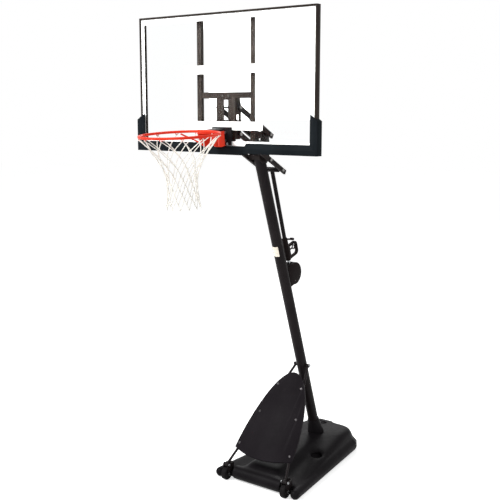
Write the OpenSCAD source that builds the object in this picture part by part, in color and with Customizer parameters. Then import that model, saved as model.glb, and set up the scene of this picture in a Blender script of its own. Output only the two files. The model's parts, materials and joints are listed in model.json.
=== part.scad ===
/* [Pole] */
// Outside diameter of the pole
pole_d = 76.2; // [60:0.1:100]
// Wall of the pole
pole_wall = 2.5; // [1.5:0.1:5]
// Lean of the pole towards the board, degrees
pole_lean = 19.3; // [10:0.1:25]
// Distance of the pole foot behind the origin
pole_foot_y = 516; // [400:1:600]
// Height of the pole foot inside the tank
pole_foot_z = 110; // [90:1:140]
// Length of the pole
pole_len = 2426; // [2200:1:2600]
// Flare of the boot at the deck
boot_flare = 22; // [10:1:40]
// Height of the boot along the pole
boot_h = 150; // [80:1:200]

/* [Base] */
// Front edge of the tank in front of the origin
base_front = 283; // [200:1:350]
// Rear edge of the tank behind the origin
base_rear = 800; // [600:1:850]
// Half width at the front
base_half_front = 350; // [250:1:450]
// Half width at the rear
base_half_rear = 252; // [200:1:400]
// Corner radius at the front
base_corner_front = 35; // [20:1:60]
// Corner radius at the rear
base_corner_rear = 120; // [60:1:160]
// Radius of the side rail at the front
rail_front = 35; // [28:1:42]
// Radius of the side rail at the rear
rail_rear = 50; // [40:1:60]
// How far the tank wall stands inside the rail
rail_in = 26; // [15:1:32]
// How far the side rails reach ahead of the tank's front
rail_ahead = 30; // [0:1:45]
// How far the rails' front ends stand out sideways
rail_out = 8; // [0:1:20]
// Height of the skirt at the front
skirt_front = 40; // [30:1:80]
// Height of the skirt at the rear
skirt_rear = 88; // [60:1:140]
// Height of the ridge at the front
ridge_front = 68; // [60:1:110]
// Height of the deck at the rear
ridge_rear = 178; // [130:1:200]
// Inset of the ridge
ridge_in = 46; // [36:1:80]
// Height of the hump under the shield at its front
spine_front = 130; // [110:1:145]
// Half width of the hump at its front
spine_half = 165; // [150:1:185]
// Half width of the hump at the pole
spine_rear_half = 85; // [80:1:110]
// Width of the hump's sloping flanks
spine_flank = 40; // [30:1:44]
// Radius of the hump's corners
spine_r = 35; // [25:1:35]
// Radius of the roll at the front edge
roll_r = 50; // [30:1:60]
// Half length of the roll
roll_half = 204; // [150:1:215]
// Sideways place of the fill cap
fill_x = -60; // [-150:1:150]
// Fill cap place behind the origin
fill_y = 690; // [500:1:720]
// Depth of the pocket round the fill cap
fill_sink = 19; // [5:1:24]
// Outside diameter of the fill cap
fill_d = 64; // [40:1:80]
// Height of the fill cap
fill_h = 22; // [12:1:30]
// Wall of the fill cap
fill_wall = 3; // [2:0.1:6]

/* [Wheels] */
// Wheel radius
wheel_r = 46; // [35:1:60]
// Wheel width
wheel_w = 38; // [25:1:50]
// Sideways place of the wheels
wheel_x = 252; // [220:1:300]
// Wheels in front of the origin
wheel_y = 296; // [250:1:330]
// Wheel clearance above the floor
wheel_lift = 2; // [1:0.5:10]
// Axle diameter
axle_d = 12; // [8:1:16]
// Fork plate thickness
fork_t = 3; // [2:0.5:5]
// Fork plate half width round the axle
fork_r = 14; // [10:1:20]

/* [Struts] */
// Strut diameter
strut_d = 18; // [12:1:30]
// Height of the lower strut bolt
strut_z = 112; // [105:1:130]
// Height of the upper strut bolt on the pole
strut_top_z = 755; // [600:1:900]
// Sideways place of the strut at the pole
strut_top_x = 50; // [46:1:60]
// Strut bolt diameter
strut_bolt_d = 10; // [8:1:14]

/* [Shield] */
// Half width at the foot of the shield
shield_half = 243; // [200:1:260]
// Distance of the widest line along the struts
shield_s0 = 140; // [100:1:200]
// Length from the widest line to the top
shield_len = 640; // [500:1:700]
// Sag of the bottom edge at the middle
shield_sag = 52; // [20:1:80]
// Radius of the curved face
shield_r = 900; // [600:10:1400]
// Height of the face over the struts
shield_off = 43; // [42:1:60]
// Wall of the shield
shield_wall = 4.5; // [3:0.1:8]
// Distances of the bolts along the strut
shield_bolt_s = [175, 436, 668];
// Shield bolt diameter
shield_bolt_d = 6; // [4:0.5:8]
// Shield bolt head diameter
shield_head_d = 20; // [14:1:26]

/* [Linkage] */
// Height of the lower pivot on the pole
low_z = 2292; // [2200:1:2340]
// Distance between the pivots, one above the other
pivot_gap = 164; // [130:1:220]
// Arm length between its pivots
arm_len = 370; // [320:1:400]
// Arm slope at rest, degrees
arm_rest = 28; // [10:1:40]
// Arm height
arm_h = 30; // [24:1:40]
// Arm width
arm_w = 15; // [12:1:20]
// Arm wall
arm_wall = 2; // [1.5:0.1:3]
// Inner face of the arms from the middle
arm_x = 75; // [74.8:0.1:85]
// Tail of the lower arms behind the pivot
low_tail = 195; // [180:1:220]
// Tail of the upper arms behind the pivot
up_tail = 25; // [20:1:60]
// Radius of the lift pin about the lower pivot
lift_r = 159; // [150:0.1:165]
// Pivot pin diameter
pin_d = 12; // [8:1:16]
// Inner face of the bracket plates from the middle
plate_x = 70; // [60:0.1:70.2]
// Bracket plate thickness
plate_t = 4; // [3:0.1:4.2]

/* [Lift] */
// Lift tube outside diameter
lift_d = 28; // [24:1:36]
// Lift tube bore
lift_bore = 22; // [18:0.5:26]
// Lift rod diameter
rod_d = 21; // [16:0.5:24]
// Lower lift pin behind the pole's axis
rod_u = 86.6; // [82:0.1:92]
// Rod that shows between the tube and its pin
rod_show = 98; // [85:1:120]
// Lift tube length below its pin
tube_len = 676; // [640:1:690]
// Top end of the rod below the lift pin
rod_top = 420; // [350:1:430]
// Rod pin diameter
rod_pin_d = 10; // [8:1:12]
// Travel of the rod pin in its slot
slot_run = 21; // [20:1:30]
// Free height in the slot above and below the pin
slot_free = 2; // [1.8:0.1:4]
// Radius of the housing
house_r = 80; // [70:1:95]
// Half width of the housing
house_half = 31; // [29:1:40]
// Housing wall
house_wall = 3.5; // [2.5:0.1:5]

/* [Handle] */
// Reach of the handle loop behind the tube axis
grip_reach = 125; // [110:1:140]
// Height of the handle loop
grip_h = 104; // [98:1:120]
// Bar of the handle loop
grip_bar = 15; // [10:1:20]
// Thickness of the handle loop
grip_t = 24; // [18:1:32]
// Trigger thickness
trigger_t = 8; // [6:1:12]
// Finger ring outside radius
ring_out = 17; // [15:1:20]
// Finger ring inside radius
ring_in = 11.5; // [10:0.5:13]
// Reach of the finger ring from the trigger pin
ring_reach = 62; // [50:1:64]
// Trigger pin diameter
trigger_pin_d = 4; // [3:0.5:6]

/* [Board] */
// Half width of the board
board_half = 686; // [500:1:920]
// Height of the board
board_h = 826; // [700:1:1100]
// Lower front pivot above the bottom edge of the board
board_drop = 88; // [80:1:100]
// Front face of the board in front of the front pivots
board_gap = 75; // [72:1:90]
// Depth of the frame
frame_d = 38; // [30:1:50]
// Front lip of the frame
frame_lip = 11; // [8:1:20]
// Back flange of the frame
frame_back = 30; // [20:1:40]
// Frame wall
frame_wall = 2; // [1.5:0.1:3]
// Panel thickness
panel_t = 5; // [3:0.5:12]
// Sideways place of the uprights
upright_x = 210; // [150:1:300]
// Upright plate width
upright_w = 34; // [25:1:50]
// Upright and crossbar flange
angle_f = 25; // [20:1:40]
// Angle iron thickness
angle_t = 3; // [2:0.5:5]
// Bottom of the crossbar above the board bottom
cross_z = 307; // [250:1:350]
// Crossbar height
cross_h = 38; // [30:1:50]
// Half width of the window in the board bracket
window_half = 16; // [10:1:18]
// Frame bolt diameter
bolt_d = 8; // [6:1:10]
// Frame bolt head across its corners
bolt_head = 16; // [12:1:20]

/* [Pads] */
// Pad reach beyond the frame at the sides
pad_side = 18; // [10:1:30]
// Pad reach below the frame
pad_under = 28; // [15:1:40]
// Pad thickness in front of the frame
pad_front = 16; // [8:1:30]
// Height of the pad band
pad_band = 63; // [45:1:90]
// Flat part of the pad front
pad_flat = 30; // [20:1:45]
// Width of the pad legs
pad_leg = 57; // [40:1:80]
// Height of the pad legs
pad_tall = 240; // [150:1:300]
// Rise of the leg top from outside to inside
pad_rise = 40; // [20:1:60]
// Inner ends of the corner pads
pad_end = 175; // [140:1:220]
// Height of the centre pad
pad_mid = 45; // [35:1:60]
// Thickness of the centre pad in front of the frame
pad_mid_front = 12; // [6:1:20]

/* [Rim] */
// Inside diameter of the ring
ring_d = 457; // [440:1:470]
// Ring rod diameter
ring_rod = 16; // [12:1:20]
// Ring centre in front of the board
ring_y = 395; // [370:1:420]
// Droop of the ring at rest, degrees
rim_droop = 4; // [0:0.5:5]
// Rim pivot in front of the board
rim_pivot_y = 22; // [20:1:30]
// Rim pivot above the board bottom
rim_pivot_z = 32; // [30:1:40]
// Ring plane above the pivot
ring_up = 86; // [60:1:95]
// Rim pivot pin diameter
rim_pin_d = 8; // [6:1:10]
// Half width of the rim bracket
rim_half = 48; // [45:1:50]
// Rim bracket plate thickness
rim_t = 4; // [3:0.5:6]
// Half width of the mount plate
mount_half = 76; // [70:1:90]
// Mount plate thickness
mount_t = 6; // [4:0.5:8]
// Top of the mount plate above the rim pivot
mount_up = 100; // [90:1:120]
// Brace rod diameter
brace_d = 10; // [8:1:14]
// Length of the cover over the breakaway spring
cover_len = 112; // [90:1:112]
// Height of the cover over the breakaway spring
cover_h = 14; // [10:1:18]
// Hook wire diameter
hook_d = 4; // [3:0.5:6]
// Hook bend radius
hook_r = 8; // [6:0.5:12]

/* [Net] */
// Cord diameter
cord_d = 6; // [4:0.5:8]
// Radius of the net at the hooks
net_top = 229; // [200:1:230]
// Radius of the net at its waist
net_waist = 90; // [70:1:120]
// Length of the net
net_len = 420; // [350:1:450]
// Turn of each cord over its length, degrees
net_turn = 105; // [60:15:180]
// Space between the two layers of cords
net_layer = 7.5; // [6.5:0.5:10]

/* [Fits] */
// Radial running clearance of a pin
run_gap = 0.05; // [0.01:0.01:0.1]
// Clearance between fixed pieces
fit_gap = 0.2; // [0.1:0.05:0.5]
// Clearance between pieces that move past each other
move_gap = 0.6; // [0.4:0.1:1]

/* [Hidden] */
$fn = 64;
far = 2000;
function pole_y(z) = pole_foot_y - tan(pole_lean) * (z - pole_foot_z);
low_y = pole_y(low_z);
up_z = low_z + pivot_gap;
front_y = low_y - arm_len * cos(arm_rest);
front_low_z = low_z + arm_len * sin(arm_rest);
front_up_z = front_low_z + pivot_gap;
lift_y = low_y + lift_r * cos(arm_rest);
lift_z = low_z - lift_r * sin(arm_rest);
lift_u = (lift_y - pole_foot_y) * cos(pole_lean) + (lift_z - pole_foot_z) * sin(pole_lean);
lift_w = (lift_z - pole_foot_z) * cos(pole_lean) - (lift_y - pole_foot_y) * sin(pole_lean);
rod_w = lift_w - sqrt(pow(tube_len + rod_show, 2) - pow(lift_u - rod_u, 2));
rod_y = pole_foot_y + rod_u * cos(pole_lean) - rod_w * sin(pole_lean);
rod_z = pole_foot_z + rod_u * sin(pole_lean) + rod_w * cos(pole_lean);
lift_span = norm([rod_y - lift_y, rod_z - lift_z]);
lift_tilt = atan2(rod_y - lift_y, lift_z - rod_z);
arm_out = arm_x + arm_w;
strut_top_y = pole_y(strut_top_z);
strut_plane = norm([strut_top_y + wheel_y, strut_top_z - strut_z]);
shield_ang = atan2(strut_top_z - strut_z, strut_top_y + wheel_y);
axle_z = wheel_r + wheel_lift;
notch_half = wheel_w / 2 + fork_t + 4;
notch_deep = 43;
board_z = front_low_z - board_drop;
board_y = board_gap - front_y;
board_top = board_z + board_h;
back_y = -board_y + frame_d;
rim_y = -board_y - rim_pivot_y;
rim_z = board_z + rim_pivot_z;
ring_mid = (ring_d + ring_rod) / 2;
ring_loc_y = rim_pivot_y - ring_y;

module xbar(d, w) rotate([0, 90, 0]) cylinder(d = d, h = w, center = true);
module ybar(d, w) rotate([90, 0, 0]) cylinder(d = d, h = w, center = true);
module slab(x0, x1) translate([x0, 0, 0]) rotate([90, 0, 90]) linear_extrude(x1 - x0) children();
module both() {
    children();
    mirror([1, 0, 0]) children();
}
module on_pole() translate([0, pole_foot_y, pole_foot_z]) rotate([pole_lean, 0, 0]) children();
module on_lift() translate([0, lift_y, lift_z]) rotate([lift_tilt, 0, 0]) children();
module on_low() translate([0, low_y, low_z]) rotate([-arm_rest, 0, 0]) children();
module on_up() translate([0, low_y, up_z]) rotate([-arm_rest, 0, 0]) children();
module on_shield() translate([0, -wheel_y, strut_z]) rotate([shield_ang, 0, 0]) children();
module on_rim() translate([0, rim_y, rim_z]) rotate([rim_droop, 0, 0]) children();
module rod_between(a, b, d) {
    v = b - a;
    translate(a) rotate([0, acos(v[2] / norm(v)), atan2(v[1], v[0])]) cylinder(d = d, h = norm(v));
}
module headed_pin(d, half) {
    xbar(d, 2 * half);
    both() translate([half + 3, 0, 0]) xbar(d * 1.7, 6);
}
module posts(inset, z, hf, hr) {
    fx = base_half_front - base_corner_front - inset;
    rx = base_half_rear - base_corner_rear - inset;
    for (s = [-1, 1]) {
        translate([s * fx, -base_front + base_corner_front + inset, z]) cylinder(r = base_corner_front, h = hf, $fn = 32);
        translate([s * rx, base_rear - base_corner_rear - inset, z]) cylinder(r = base_corner_rear, h = hr, $fn = 48);
    }
}

seam = 0.6;
module rail_between(a, ra, b, rb) {
    v = b - a;
    translate(b) sphere(r = rb);
    translate(a) rotate([0, acos(v[2] / norm(v)), atan2(v[1], v[0])]) {
        cylinder(r1 = ra - seam, r2 = rb - seam, h = norm(v));
    }
}
rail_start = [base_half_front + rail_out - rail_front, rail_front - base_front - rail_ahead, rail_front];
rail_bend = [base_half_rear - rail_rear, base_rear - base_corner_rear, rail_rear];
rail_turn = [base_half_rear - base_corner_rear * 0.75, base_rear - rail_rear, rail_rear];
spine_y = 2 * roll_r - base_front;
spine_end = pole_foot_y - boot_flare - 30;
module spine() hull() for (s = [-1, 1]) {
    translate([s * (spine_half - spine_r), spine_y, 0]) cylinder(r = spine_r, h = ridge_front + 12, $fn = 32);
    translate([s * (spine_half - spine_flank - spine_r), spine_y + 10, 0]) {
        cylinder(r = spine_r, h = spine_front, $fn = 32);
    }
    translate([s * (spine_rear_half - spine_r), spine_end, 0]) cylinder(r = spine_r, h = ridge_rear - 6, $fn = 32);
    translate([s * (spine_rear_half - spine_flank - spine_r), spine_end - 30, 0]) {
        cylinder(r = spine_r, h = ridge_rear - fit_gap, $fn = 32);
    }
}
module base_tank() color("#262427") difference() {
    union() {
        difference() {
            union() {
                hull() {
                    posts(rail_in, 0, skirt_front, skirt_rear);
                    posts(ridge_in, 0, ridge_front, ridge_rear);
                }
                spine();
                both() {
                    translate(rail_start) sphere(r = rail_front);
                    rail_between(rail_start, rail_front, rail_bend, rail_rear);
                    rail_between(rail_bend, rail_rear, rail_turn, rail_rear);
                }
                translate([0, base_rear - rail_rear, rail_rear]) xbar(2 * rail_rear - 2 * seam, 2 * rail_turn[0]);
                translate([0, -base_front + roll_r - 18, roll_r + 6]) xbar(2 * roll_r, 2 * roll_half);
            }
            translate([fill_x, fill_y, ridge_rear - fill_sink]) cylinder(d = fill_d + 8, h = 100);
        }
        translate([fill_x, fill_y, ridge_rear - fill_sink - 5]) {
            cylinder(d = fill_d - 2 * fill_wall - 2 * move_gap, h = 20);
        }
    }
    both() translate([wheel_x - notch_half, -base_front - 150, -1]) cube([2 * notch_half, 150 + notch_deep, far]);
    on_pole() translate([0, 0, -fit_gap]) cylinder(d = pole_d + 2 * fit_gap, h = far / 2);
    translate([fill_x, fill_y, ridge_rear - fill_sink - 60]) cylinder(d = fill_d - 20, h = 100);
    translate([185, 225, 0]) rotate([7, 0, 0]) translate([0, 0, 92]) cylinder(d = 84, h = 100);
}

module fill_cap() color("#2a282b") translate([fill_x, fill_y, ridge_rear - fill_sink + move_gap]) difference() {
    union() {
        cylinder(d = fill_d, h = fill_h);
        translate([-fill_d / 2 + 6, -4, fill_h - 1]) cube([fill_d - 12, 8, 7]);
    }
    translate([0, 0, -1]) cylinder(d = fill_d - 2 * fill_wall, h = fill_h - fill_wall + 1);
}

module wheel(s) translate([s * wheel_x, -wheel_y, axle_z]) rotate([0, 90, 0]) difference() {
    rotate_extrude() polygon([[axle_d / 2 + run_gap, -wheel_w / 2], [wheel_r - 5, -wheel_w / 2],
        [wheel_r, -wheel_w / 2 + 5], [wheel_r, wheel_w / 2 - 5], [wheel_r - 5, wheel_w / 2],
        [axle_d / 2 + run_gap, wheel_w / 2]]);
    for (z = [-wheel_w / 2 - 1, wheel_w / 2 - 5]) translate([0, 0, z]) difference() {
        cylinder(r = wheel_r - 9, h = 6);
        translate([0, 0, -1]) cylinder(r = axle_d / 2 + 6, h = 8);
    }
}
module wheel_left() color("#1f1d1e") wheel(-1);
module wheel_right() color("#1f1d1e") wheel(1);

module wheel_axles() color("#b9bbbd") both() translate([wheel_x, -wheel_y, axle_z]) {
    headed_pin(axle_d, wheel_w / 2 + move_gap + fork_t + fit_gap);
}

module wheel_forks() color("#2b292b") both() difference() {
    union() {
        for (x = [-1, 1]) translate([wheel_x + x * (wheel_w / 2 + move_gap + fork_t / 2) - fork_t / 2, 0, 0]) {
            slab(0, fork_t) union() {
                translate([-wheel_y, axle_z]) circle(r = fork_r);
                translate([-wheel_y, strut_z]) circle(r = fork_r);
                translate([-wheel_y - fork_r, axle_z]) square([2 * fork_r, strut_z - axle_z]);
                translate([-wheel_y, axle_z + 20]) square([wheel_y - base_front + notch_deep - fit_gap, strut_z - axle_z - 10]);
            }
        }
        translate([wheel_x - wheel_w / 2 - move_gap, -base_front + notch_deep - fit_gap - fork_t, axle_z + 20]) {
            cube([wheel_w + 2 * move_gap, fork_t, strut_z - axle_z - 10]);
        }
    }
    translate([wheel_x, -wheel_y, axle_z]) xbar(axle_d + 2 * fit_gap, 100);
    translate([wheel_x, -wheel_y, strut_z]) xbar(strut_bolt_d + 2 * fit_gap, 100);
}

eye_out = 5;
module strut(s) difference() {
    union() {
        rod_between([s * wheel_x, -wheel_y, strut_z], [s * strut_top_x, strut_top_y, strut_top_z], strut_d);
        translate([s * wheel_x, -wheel_y, strut_z]) xbar(strut_d + 6, wheel_w - 8);
        translate([s * (strut_top_x + eye_out / 2), strut_top_y, strut_top_z]) xbar(strut_d + 8, 18 + eye_out);
    }
    translate([s * wheel_x, -wheel_y, strut_z]) xbar(strut_bolt_d + 2 * fit_gap, 100);
    translate([s * strut_top_x, strut_top_y, strut_top_z]) xbar(strut_bolt_d + 2 * fit_gap, 60);
    for (d = shield_bolt_s) shield_bolt_line(s, d) cylinder(d = shield_bolt_d + 2 * fit_gap, h = shield_r + 20);
}
module strut_left() color("#2f2d2e") strut(-1);
module strut_right() color("#2f2d2e") strut(1);

module strut_bolts() color("#a9abad") {
    both() translate([wheel_x, -wheel_y, strut_z]) headed_pin(strut_bolt_d, wheel_w / 2 + move_gap + fork_t + fit_gap);
    translate([0, strut_top_y, strut_top_z]) headed_pin(strut_bolt_d, strut_top_x + 9 + eye_out + fit_gap);
}

function strut_x(s) = wheel_x - (wheel_x - strut_top_x) * s / strut_plane;
function bolt_reach(s) = norm([strut_x(s), shield_r - shield_off]);
module shield_bolt_line(side, s) {
    ang = atan2(strut_x(s), shield_r - shield_off);
    on_shield() translate([0, s, shield_off - shield_r]) rotate([0, side * ang, 0]) children();
}
function shield_w(t) = shield_half * sqrt(max(0, 1 - pow(t, 1.6)));
shield_rim = [for (i = [0 : 20]) let (t = 1 - pow(1 - i / 20, 2)) [shield_w(t), shield_s0 + shield_len * t]];
shield_foot = [for (i = [1 : 11]) let (x = i / 6 - 1) [x * shield_half, shield_s0 - shield_sag * (1 - x * x)]];
module front_shield() color("#2c272b") difference() {
    on_shield() intersection() {
        translate([0, shield_s0 + shield_len / 2, shield_off - shield_r]) rotate([90, 0, 0]) difference() {
            cylinder(r = shield_r, h = shield_len + 200, center = true, $fn = 200);
            cylinder(r = shield_r - shield_wall, h = shield_len + 202, center = true, $fn = 200);
        }
        translate([0, 0, -100]) linear_extrude(200) polygon(concat(shield_rim,
            [for (i = [19 : -1 : 0]) [-shield_rim[i][0], shield_rim[i][1]]], shield_foot));
    }
    for (k = [-1, 1], d = shield_bolt_s) shield_bolt_line(k, d) {
        cylinder(d = shield_bolt_d + 2 * fit_gap, h = shield_r + 20);
    }
}

module shield_bolts() color("#b4b6b8") for (k = [-1, 1], d = shield_bolt_s) shield_bolt_line(k, d) {
    low = bolt_reach(d);
    translate([0, 0, low - 6]) cylinder(d = shield_bolt_d, h = shield_r - low + 7);
    translate([0, 0, shield_r + fit_gap]) cylinder(d1 = shield_head_d, d2 = shield_head_d - 8, h = 5);
    if (shield_r - shield_wall - low - strut_d / 2 > 3) {
        translate([0, 0, low + strut_d / 2 + 1]) {
            cylinder(d = 2 * shield_bolt_d, h = shield_r - shield_wall - low - strut_d / 2 - 1.5);
        }
    }
}

module pole() color("#3d3b3c") difference() {
    on_pole() difference() {
        cylinder(d = pole_d, h = pole_len);
        translate([0, 0, -1]) cylinder(d = pole_d - 2 * pole_wall, h = pole_len + 2);
    }
    translate([0, strut_top_y, strut_top_z]) xbar(strut_bolt_d + 2 * fit_gap, 2 * pole_d);
    translate([0, low_y, low_z]) xbar(pin_d + 2 * fit_gap, 2 * pole_d);
}

module pole_boot() color("#2a2829") difference() {
    on_pole() difference() {
        cylinder(d1 = pole_d + 3 * boot_flare, d2 = pole_d + 10, h = boot_h + 40);
        translate([0, 0, -1]) cylinder(d = pole_d + 2 * fit_gap, h = boot_h + 60);
    }
    translate([-far / 2, -far / 2, ridge_rear + fit_gap - far]) cube([far, far, far]);
}

module pole_cap() color("#232122") on_pole() {
    translate([0, 0, pole_len + fit_gap]) cylinder(d = pole_d, h = 4);
    translate([0, 0, pole_len - 18]) cylinder(d = pole_d - 2 * pole_wall - 2 * fit_gap, h = 20);
}

web_u = pole_d / 2 + 2 * fit_gap;
pole_plate = pole_d / 2 + 5 * fit_gap;
low_w = (low_z - pole_foot_z) / cos(pole_lean);
module pole_top_bracket() color("#3a3736") difference() {
    union() {
        both() slab(pole_plate, pole_plate + plate_t) polygon([[low_y - 22, low_z - 24], [low_y + 24, low_z - 24],
            [low_y + 58, low_z + 40], [low_y + 40, up_z + 28], [low_y - 40, up_z + 28], [low_y - 62, low_z + 40],
            [low_y - 56, low_z - 8]]);
        both() for (z = [low_z, up_z]) translate([(pole_plate + arm_x) / 2, low_y, z]) {
            xbar(pin_d + 14, arm_x - pole_plate - 2 * move_gap);
        }
        on_pole() for (u = [-web_u - plate_t, web_u]) translate([-pole_plate - 1, u, low_w + (u < 0 ? 12 : -4)]) {
            cube([2 * pole_plate + 2, plate_t, u < 0 ? 33 : 84]);
        }
        translate([-pole_plate - 1, low_y - 40, up_z - 26]) cube([2 * pole_plate + 2, plate_t, 45]);
    }
    translate([0, low_y, low_z]) xbar(pin_d + 2 * fit_gap, 200);
    translate([0, low_y, up_z]) xbar(pin_d + 2 * fit_gap, 200);
}

module pivot_pin() headed_pin(pin_d, arm_out + move_gap);
module upper_pole_pin() color("#8e8c8a") translate([0, low_y, up_z]) pivot_pin();
module lower_pole_pin() color("#8e8c8a") translate([0, low_y, low_z]) pivot_pin();
module upper_board_pin() color("#8e8c8a") translate([0, front_y, front_up_z]) pivot_pin();
module lower_board_pin() color("#8e8c8a") translate([0, front_y, front_low_z]) pivot_pin();
module lift_pin() color("#8e8c8a") translate([0, lift_y, lift_z]) pivot_pin();

module arm_tube(s, tail) {
    x0 = s > 0 ? arm_x : -arm_out;
    difference() {
        translate([x0, -arm_len - arm_h / 2, -arm_h / 2]) cube([arm_w, arm_len + arm_h / 2 + tail, arm_h]);
        translate([x0 + arm_wall, -arm_len - arm_h, -arm_h / 2 + arm_wall]) {
            cube([arm_w - 2 * arm_wall, arm_len + 2 * arm_h + tail, arm_h - 2 * arm_wall]);
        }
        for (y = [-arm_len, 0]) translate([0, y, 0]) xbar(pin_d + 2 * run_gap, far);
        translate([0, lift_r, 0]) xbar(pin_d + 2 * fit_gap, far);
    }
}
module arm_caps(tail) both() for (k = [0, 1]) {
    y = k == 0 ? tail : -arm_len - arm_h / 2;
    q = k == 0 ? fit_gap : -3 - fit_gap;
    translate([arm_x, y + q, -arm_h / 2]) cube([arm_w, 3, arm_h]);
    translate([arm_x + arm_wall + fit_gap, y + (k == 0 ? -6 : -1), -arm_h / 2 + arm_wall + fit_gap]) {
        cube([arm_w - 2 * arm_wall - 2 * fit_gap, 7, arm_h - 2 * arm_wall - 2 * fit_gap]);
    }
}
module lower_arm_left() color("#3a3735") on_low() arm_tube(-1, low_tail);
module lower_arm_right() color("#3a3735") on_low() arm_tube(1, low_tail);
module lower_end_caps() color("#1d1b1c") on_low() arm_caps(low_tail);
module upper_arm_left() color("#3a3735") on_up() arm_tube(-1, up_tail);
module upper_arm_right() color("#3a3735") on_up() arm_tube(1, up_tail);
module upper_end_caps() color("#1d1b1c") on_up() arm_caps(up_tail);

module lift_tube() color("#3b3938") on_lift() difference() {
    union() {
        translate([0, 0, -tube_len]) cylinder(d = lift_d, h = tube_len);
        xbar(lift_d + 6, 2 * arm_x - 40);
    }
    translate([0, 0, -tube_len - 1]) cylinder(d = lift_bore, h = tube_len - 30);
    xbar(pin_d + 2 * run_gap, far);
}

module lift_rod() color("#9fa1a3") on_lift() difference() {
    union() {
        translate([0, 0, -lift_span]) cylinder(d = rod_d, h = lift_span - rod_top);
        translate([0, 0, -lift_span]) xbar(rod_d + 5, 24);
    }
    translate([0, 0, -lift_span]) xbar(rod_pin_d + 2 * fit_gap, 60);
}
module rod_pin() color("#8e8c8a") translate([0, rod_y, rod_z]) {
    xbar(rod_pin_d, 38);
    both() translate([20.5, 0, 0]) xbar(rod_pin_d + 6, 5);
}

module lift_bracket() color("#343233") difference() {
    on_pole() {
        w0 = (rod_z - pole_foot_z) * cos(pole_lean) - (rod_y - pole_foot_y) * sin(pole_lean);
        both() slab(13, 17) translate([36.4, w0 - 30]) square([98, 55]);
        translate([-17, 41, w0 - 30]) cube([34, 4, 55]);
    }
    translate([0, rod_y, rod_z]) {
        for (y = [0, slot_run]) translate([0, y, 0]) xbar(rod_pin_d + 2 * slot_free, 60);
        translate([-30, 0, -rod_pin_d / 2 - slot_free]) cube([60, slot_run, rod_pin_d + 2 * slot_free]);
    }
}

module house_shape(g) union() {
    translate([95, 0]) circle(r = house_r - g);
    translate([27, -house_r + g + 10]) square([68, 2 * house_r - 2 * g - 10]);
}
module lift_housing() color("#2b292a") on_pole() translate([0, 0, rod_w - 16]) difference() {
    slab(-house_half, house_half) difference() {
        house_shape(0);
        translate([0, -house_r]) square([27, 2 * house_r]);
    }
    slab(-house_half + house_wall, house_half - house_wall) union() {
        house_shape(house_wall);
        translate([0, -house_r + house_wall + 10]) square([60, 2 * house_r - 2 * house_wall - 10]);
    }
    translate([-rod_d / 2 - 5, 70, 20]) cube([rod_d + 10, 66, 100]);
    translate([0, 0, -2 * house_r]) cylinder(d = pole_d + 2 * fit_gap, h = 4 * house_r);
}

grip_top = -tube_len + grip_h - 7;
knob_up = 48;
module grip_shape() difference() {
    union() {
        translate([0, grip_top - grip_h]) square([grip_reach - 30, grip_h]);
        translate([grip_reach - 30, grip_top - grip_h + 30]) square([30, grip_h - 60]);
        for (z = [grip_top - 30, grip_top - grip_h + 30]) translate([grip_reach - 30, z]) circle(r = 30);
    }
    translate([lift_d / 2 + 18, grip_top - grip_h + grip_bar]) {
        square([grip_reach - grip_bar - lift_d / 2 - 18 - 16, grip_h - 2 * grip_bar]);
    }
    translate([grip_reach - grip_bar - 17, grip_top - grip_h + grip_bar + 16]) square([17, grip_h - 2 * grip_bar - 32]);
    for (z = [grip_top - grip_bar - 16, grip_top - grip_h + grip_bar + 16]) {
        translate([grip_reach - grip_bar - 16, z]) circle(r = 16);
    }
}
trig_y = lift_d / 2 + 9;
trig_z = grip_top - 40;
module lift_handle() color("#2a2829") on_lift() difference() {
    union() {
        slab(-grip_t / 2, grip_t / 2) grip_shape();
        translate([0, 0, grip_top - grip_h]) cylinder(d = lift_d + 12, h = grip_h + knob_up + 18);
    }
    translate([0, 0, -tube_len - 100]) cylinder(d = lift_d + 2 * fit_gap, h = 500);
    translate([-trigger_t / 2 - move_gap, lift_d / 2 + fit_gap, trig_z - 16]) cube([trigger_t + 2 * move_gap, 40, 30]);
    translate([0, trig_y, trig_z]) xbar(trigger_pin_d + 2 * fit_gap, 60);
}
module handle_knob() color("#1e1c1d") on_lift() {
    rod_between([0, lift_d / 2 + 8.8, grip_top + knob_up], [0, lift_d / 2 + 84, grip_top + knob_up - 34], 13);
    rod_between([0, lift_d / 2 + 58, grip_top + knob_up - 20], [0, lift_d / 2 + 85, grip_top + knob_up - 33.5], 19);
}
module trigger_pin() color("#9a9c9e") on_lift() translate([0, trig_y, trig_z]) xbar(trigger_pin_d, grip_t);
module lift_trigger() color("#222021") on_lift() translate([0, trig_y, trig_z]) difference() {
    slab(-trigger_t / 2, trigger_t / 2) difference() {
        union() {
            circle(r = 7);
            translate([0, -4]) square([ring_reach - ring_in - 2, 8]);
            translate([ring_reach, 0]) circle(r = ring_out);
        }
        translate([ring_reach, 0]) circle(r = ring_in);
    }
    xbar(trigger_pin_d + 2 * run_gap, 60);
}

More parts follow.
